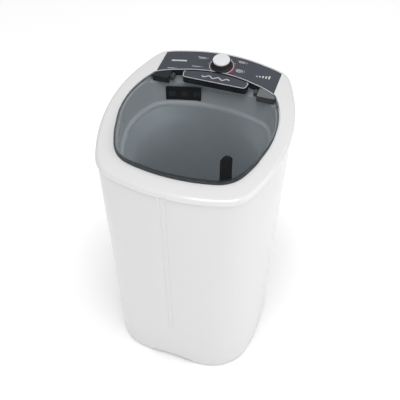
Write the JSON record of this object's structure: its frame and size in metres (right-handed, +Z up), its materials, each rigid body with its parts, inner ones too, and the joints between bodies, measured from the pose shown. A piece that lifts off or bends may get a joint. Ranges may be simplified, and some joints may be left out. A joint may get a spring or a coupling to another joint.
{
  "type": "top load washing machine",
  "caption": "Semi-automatic top load washer: tapered moulded cabinet, sloping cover with a hinged smoked lid, rear control fascia with a programme knob, belt-driven agitator.",
  "frame": {"origin": "on the floor, at the bottom centre of the machine's bounding box", "axes": "+Z up, +Y to the back, +X to the right when facing the front"},
  "size_m": [0.5894, 0.5993, 1.005],
  "materials": {
    "cabinet_white": "glossy moulded polypropylene",
    "cover_white": "glossy moulded plastic",
    "tub_plastic": "satin moulded polypropylene",
    "fascia_slate": "slate grey printed film on plastic",
    "dark_plastic": "fine-grained black plastic",
    "lid_smoke": "polished smoked see-through plastic",
    "knob_cap_grey": "satin light grey plastic",
    "scale_red": "red printed film",
    "grey_plastic": "unpainted grey plastic",
    "agitator_plastic": "slate grey moulded plastic",
    "black_rubber": "matt black rubber",
    "zinc_steel": "zinc plated steel",
    "motor_enamel": "grey enamel on cast metal",
    "pulley_metal": "die cast aluminium"
  },
  "bodies": {
    "cabinet": {"cabinet_shell": "cabinet_white", "rear_cover": "grey_plastic", "rear_cover_screw_1": "zinc_steel", "rear_cover_screw_2": "zinc_steel", "rear_cover_screw_3": "zinc_steel", "rear_cover_screw_4": "zinc_steel", "base_pan": "grey_plastic", "foot_front_left": "black_rubber", "foot_front_right": "black_rubber", "foot_rear_left": "black_rubber", "foot_rear_right": "black_rubber", "top_cover": "cover_white", "control_fascia": "fascia_slate", "dial_ring": "knob_cap_grey", "dial_arc": "scale_red", "programme_timer": "dark_plastic", "hinge_bracket_left": "dark_plastic", "hinge_bracket_right": "cover_white", "wash_tub": "tub_plastic", "instruction_label": "dark_plastic", "filter_socket": "dark_plastic", "shaft_seal": "black_rubber", "bearing_housing": "motor_enamel", "drive_belt": "black_rubber", "motor_housing": "motor_enamel", "motor_cradle": "zinc_steel", "run_capacitor": "grey_plastic", "drain_outlet": "grey_plastic", "drain_hose": "grey_plastic", "drain_spigot": "dark_plastic", "cord_gland": "black_rubber", "control_harness": "black_rubber"},
    "lid": {"lid_panel": "lid_smoke", "lid_badge_block": "dark_plastic", "lid_badge_plate": "fascia_slate", "lid_lug_left": "tub_plastic", "lid_lug_right": "tub_plastic"},
    "programme_knob": {"knob_skirt": "dark_plastic", "knob_cap": "knob_cap_grey", "timer_shaft": "zinc_steel"},
    "lint_filter": {"filter_frame": "dark_plastic", "filter_mesh": "grey_plastic"},
    "agitator": {"agitator": "agitator_plastic", "agitator_cap": "knob_cap_grey", "agitator_shaft": "zinc_steel", "drive_pulley": "pulley_metal", "pulley_nut": "zinc_steel"},
    "motor_rotor": {"motor_shaft": "zinc_steel", "motor_pulley": "pulley_metal"}
  },
  "joints": [
    {"name": "lid_hinge", "type": "hinge", "parent": "cabinet", "child": "lid", "pos_m": [0, 0.14938, 0.9522], "axis": [-1, 0, 0], "range_deg": [0, 105]},
    {"name": "programme_dial", "type": "hinge", "parent": "cabinet", "child": "programme_knob", "pos_m": [0, 0.2281, 0.9729], "axis": [0, -0.158, 0.9874], "continuous": true},
    {"name": "filter_tilt", "type": "hinge", "parent": "cabinet", "child": "lint_filter", "pos_m": [0.1299, -0.11195, 0.6], "axis": [0.5693, 0.8221, 0], "range_deg": [-12, 0]},
    {"name": "agitator_spin", "type": "hinge", "parent": "cabinet", "child": "agitator", "pos_m": [0, -0.022, 0.4], "axis": [0, 0, 1], "continuous": true},
    {"name": "motor_spin", "type": "hinge", "parent": "cabinet", "child": "motor_rotor", "pos_m": [0, 0.15, 0.28], "axis": [0, 0, 1], "continuous": true}
  ],
  "couplings": [
    {"joint": "motor_spin", "follows": "agitator_spin", "ratio": 5}
  ]
}
